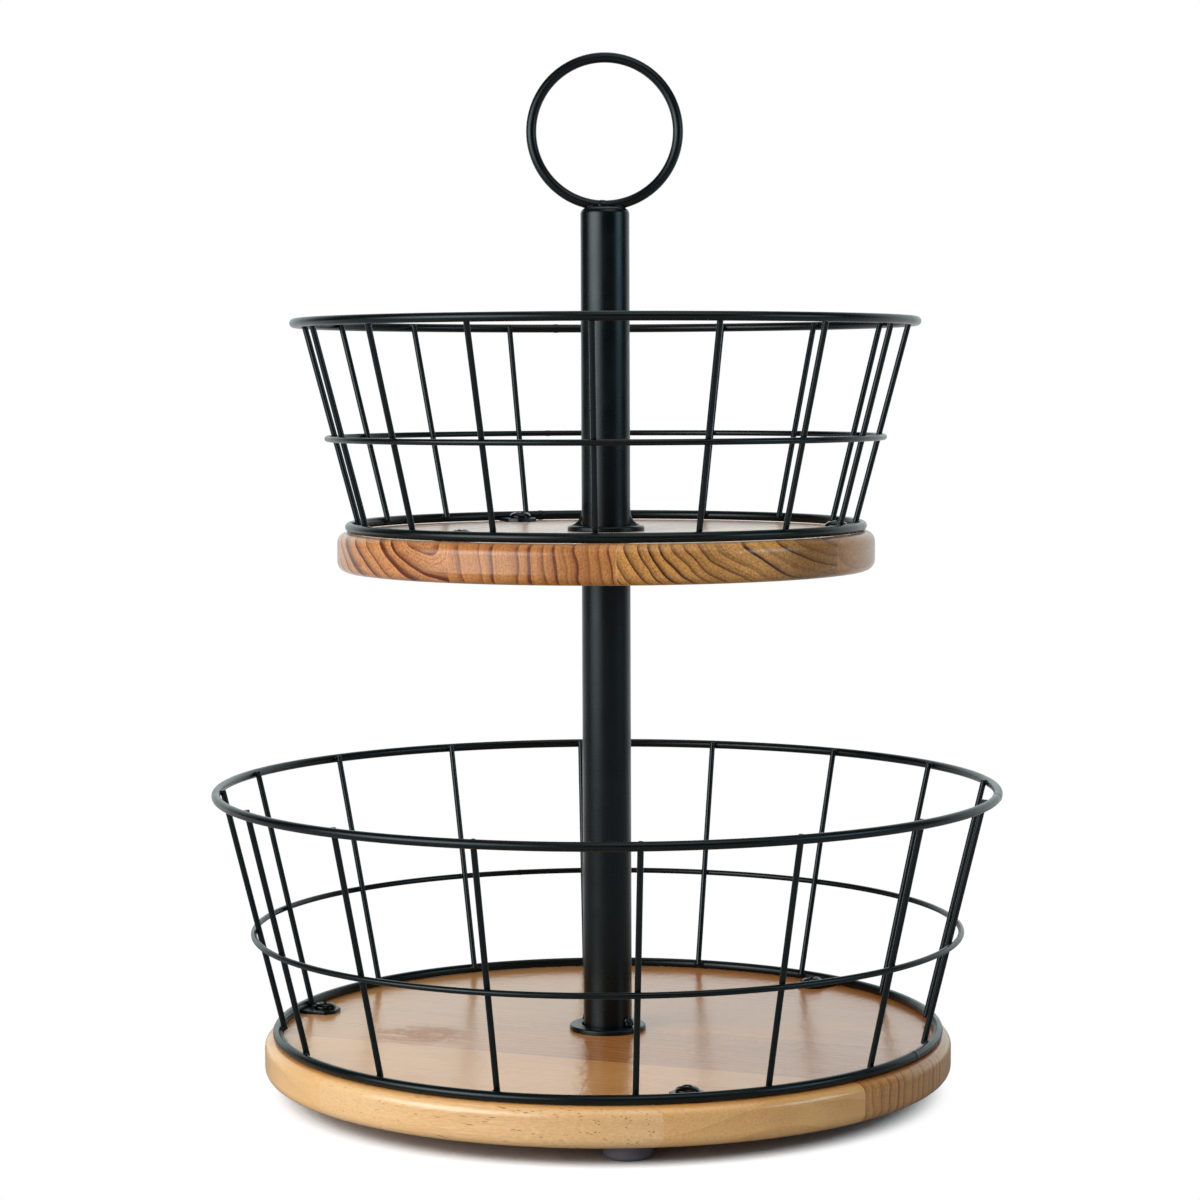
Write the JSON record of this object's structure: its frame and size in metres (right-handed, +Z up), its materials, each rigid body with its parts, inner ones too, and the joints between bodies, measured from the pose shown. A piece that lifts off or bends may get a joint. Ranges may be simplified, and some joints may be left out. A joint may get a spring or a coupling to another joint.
{
  "type": "tiered wire basket",
  "caption": "Tiered stand of round wire baskets on wooden boards, stacked on a tube post with a ring handle on top, for holding fruit or bread.",
  "frame": {"origin": "on the table, on the post's axis", "axes": "+Z up along the post; -Y is the front that the camera faces; +X to its right; the ring handle lies in the XZ plane"},
  "size_m": [0.3079, 0.3078, 0.4036],
  "materials": {
    "black_coat": "satin black powder coat on steel wire and tube",
    "black_screw": "glossier black zinc on the domed screws",
    "pale_wood": "golden edge-glued pine under a satin clear coat",
    "brown_wood": "orange-brown edge-glued pine under a satin clear coat",
    "foot_rubber": "dark slate rubber",
    "bare_steel": "plated steel of the bolt, washer, stud, plugs and foot screws"
  },
  "bodies": {
    "base": {"lower_board": "pale_wood", "lower_post": "black_coat", "lower_flange": "black_coat", "lower_flange_welds": "black_coat", "lower_post_nut": "bare_steel", "lower_post_socket": "bare_steel", "base_bolt": "bare_steel", "base_washer": "bare_steel", "feet": "foot_rubber", "foot_screws": "bare_steel", "lower_bottom_ring": "black_coat", "lower_mid_hoop": "black_coat", "lower_rim": "black_coat", "lower_upright_01": "black_coat", "lower_upright_02": "black_coat", "lower_upright_03": "black_coat", "lower_upright_04": "black_coat", "lower_upright_05": "black_coat", "lower_upright_06": "black_coat", "lower_upright_07": "black_coat", "lower_upright_08": "black_coat", "lower_upright_09": "black_coat", "lower_upright_10": "black_coat", "lower_upright_11": "black_coat", "lower_upright_12": "black_coat", "lower_upright_13": "black_coat", "lower_upright_14": "black_coat", "lower_upright_15": "black_coat", "lower_upright_16": "black_coat", "lower_tabs": "black_coat", "lower_tab_screws": "black_screw"},
    "upper_tray": {"upper_board": "brown_wood", "upper_bottom_ring": "black_coat", "upper_mid_hoop": "black_coat", "upper_rim": "black_coat", "upper_upright_01": "black_coat", "upper_upright_02": "black_coat", "upper_upright_03": "black_coat", "upper_upright_04": "black_coat", "upper_upright_05": "black_coat", "upper_upright_06": "black_coat", "upper_upright_07": "black_coat", "upper_upright_08": "black_coat", "upper_upright_09": "black_coat", "upper_upright_10": "black_coat", "upper_upright_11": "black_coat", "upper_upright_12": "black_coat", "upper_upright_13": "black_coat", "upper_upright_14": "black_coat", "upper_upright_15": "black_coat", "upper_upright_16": "black_coat", "upper_tabs": "black_coat", "upper_tab_screws": "black_screw"},
    "screw_post": {"upper_post": "black_coat", "upper_flange": "black_coat", "upper_post_welds": "black_coat", "post_stud": "bare_steel", "upper_post_nut": "bare_steel", "post_cap": "black_coat", "ring_handle": "black_coat"}
  },
  "joints": [
    {"name": "upper_tier_rise", "type": "slide", "parent": "base", "child": "upper_tray", "axis": [0, 0, 1], "range_m": [0, 0.00969]},
    {"name": "upper_post_turn", "type": "hinge", "parent": "upper_tray", "child": "screw_post", "pos_m": [0, 0, 0.219], "axis": [0, 0, 1], "range_deg": [0, 2790.5]}
  ],
  "couplings": [
    {"joint": "upper_post_turn", "follows": "upper_tier_rise", "rad_per_m": 5026.5}
  ]
}
